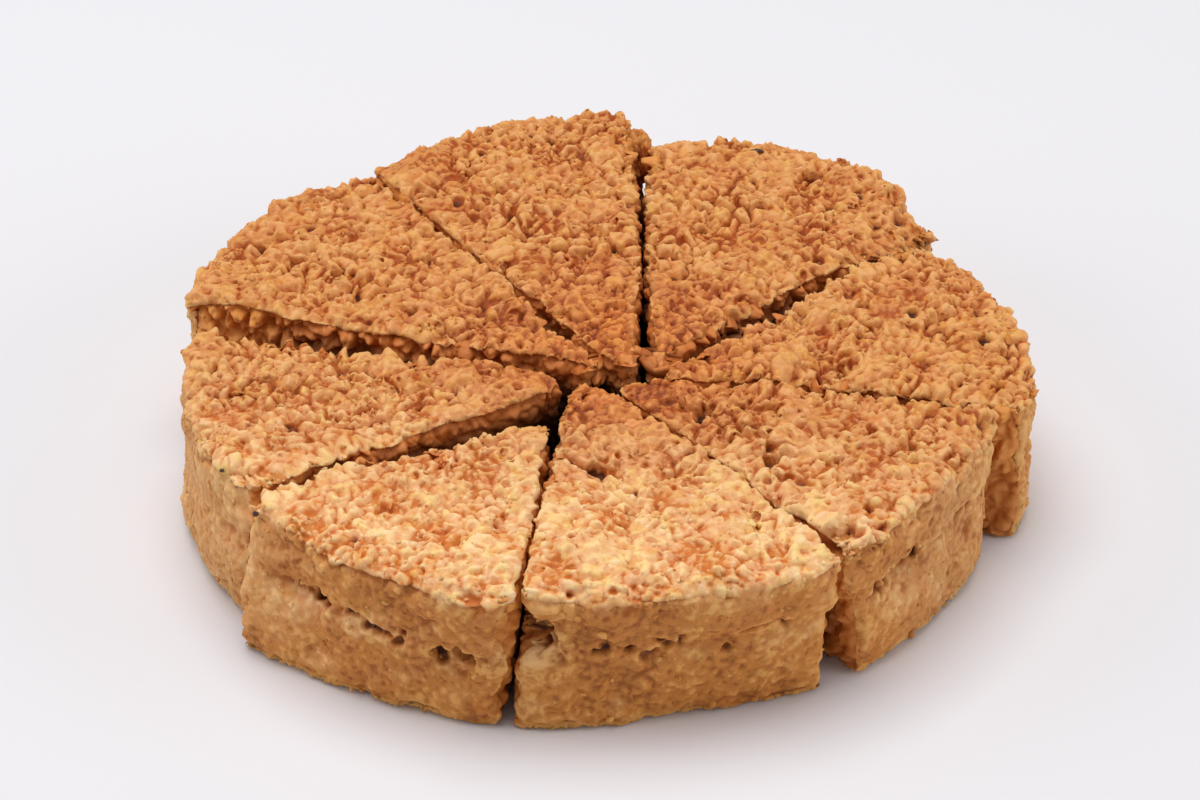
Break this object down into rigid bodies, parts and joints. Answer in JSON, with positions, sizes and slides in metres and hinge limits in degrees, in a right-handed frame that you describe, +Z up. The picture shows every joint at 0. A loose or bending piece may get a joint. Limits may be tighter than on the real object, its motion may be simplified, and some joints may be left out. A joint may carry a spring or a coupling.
{
  "type": "milk cake",
  "caption": "Round milk cake, a crumbly caramel-brown milk fudge, cut into wedge slices that still stand together as one low round",
  "frame": {"origin": "under the middle of the cake's bounding box, on the surface that it stands on", "axes": "+Z up through the cake's height; -Y faces the viewer, towards the front slice; +X to the viewer's right"},
  "size_m": [0.1854, 0.1878, 0.0392],
  "materials": {
    "milk_fudge": "matte, moist and granular"
  },
  "bodies": {
    "root": {"slice_back": "milk_fudge", "slice_back_left": "milk_fudge", "slice_left": "milk_fudge", "slice_front_left": "milk_fudge", "slice_front": "milk_fudge", "slice_front_right": "milk_fudge", "slice_right": "milk_fudge", "slice_back_right": "milk_fudge"}
  },
  "joints": []
}
